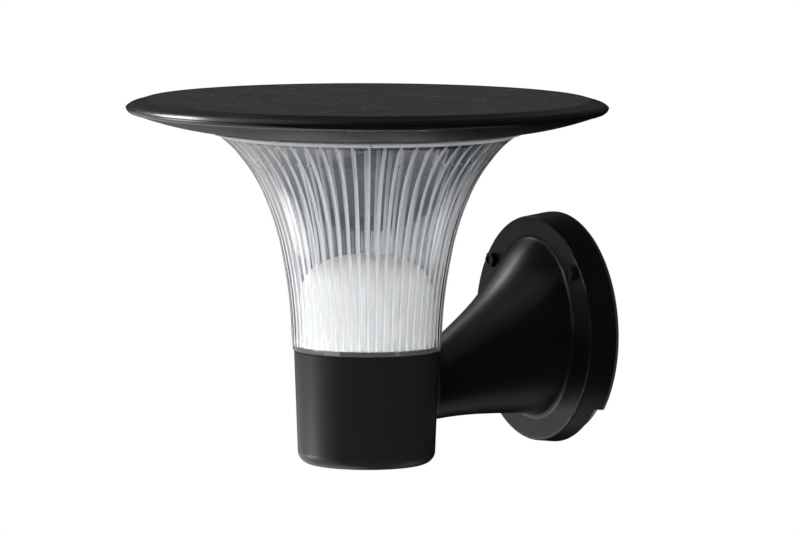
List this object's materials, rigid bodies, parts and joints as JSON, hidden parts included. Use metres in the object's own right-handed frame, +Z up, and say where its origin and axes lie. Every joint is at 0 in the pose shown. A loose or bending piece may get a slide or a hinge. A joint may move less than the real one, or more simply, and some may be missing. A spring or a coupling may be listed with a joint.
{
  "type": "fence light",
  "caption": "Solar light for a fence: round panel head on a flaring clear fluted lens, held in a cup on a horn-shaped arm with a thick round canopy.",
  "frame": {"origin": "centre of the mounting plate's back face, which is also the centre of the canopy's back, on the fence's surface", "axes": "+Z up, +Y into the fence, -Y out towards the lamp, +X to the right as seen by someone who faces the fence; the lamp's own axis is vertical, 116 mm in front of the fence"},
  "size_m": [0.25, 0.25, 0.1895],
  "materials": {
    "black_cast": "satin black powder coat on cast aluminium",
    "zinc_steel": "zinc-plated steel, dull",
    "black_screw": "blackened steel, satin",
    "foam": "closed-cell foam, matt",
    "rubber": "black silicone rubber",
    "clear_lens": "clear polycarbonate, smooth outside and fluted inside",
    "stainless": "stainless steel",
    "white_dome": "white moulded plastic, matt",
    "grey_dish": "dark grey moulded plastic, satin",
    "black_rim": "black moulded plastic, satin",
    "board_green": "green circuit board",
    "cells": "near-black silicon",
    "panel_glass": "clear tempered glass",
    "inner_plastic": "black moulded plastic",
    "battery_wrap": "blue shrink wrap",
    "chip_black": "black component cases",
    "led_board": "aluminium board with white mask",
    "led_yellow": "yellow phosphor on small chips",
    "opal_cover": "opal diffusing plastic",
    "button_rubber": "black rubber"
  },
  "bodies": {
    "bracket": {"wall_bracket": "black_cast", "mounting_plate": "zinc_steel", "standoffs": "zinc_steel", "canopy_screws": "black_screw", "wall_gasket": "foam", "base_gasket": "rubber", "lens": "clear_lens", "lens_screws": "stainless", "reflector_dome": "white_dome"},
    "head": {"head_dish": "grey_dish", "top_housing": "black_rim", "rim_seal": "rubber", "lens_seal": "rubber", "head_screws": "stainless", "panel_board": "board_green", "solar_cells": "cells", "panel_glass": "panel_glass", "battery_tray": "inner_plastic", "battery_pack": "battery_wrap", "battery_pad": "foam", "control_board": "board_green", "board_parts": "chip_black", "board_screws": "stainless", "led_board": "led_board", "leds": "led_yellow", "led_screws": "stainless", "led_cover": "opal_cover", "switch_body": "inner_plastic", "switch_seal": "rubber"},
    "button": {"switch_button": "button_rubber"}
  },
  "joints": [
    {"name": "head_twist", "type": "hinge", "parent": "bracket", "child": "head", "pos_m": [0, -0.116, 0.1206], "axis": [0, 0, 1], "range_deg": [0, 30]},
    {"name": "switch_press", "type": "slide", "parent": "head", "child": "button", "axis": [0, 0, 1], "range_m": [0, 0.0012], "stiffness_N_per_m": 1250, "springref_m": -0.001}
  ]
}
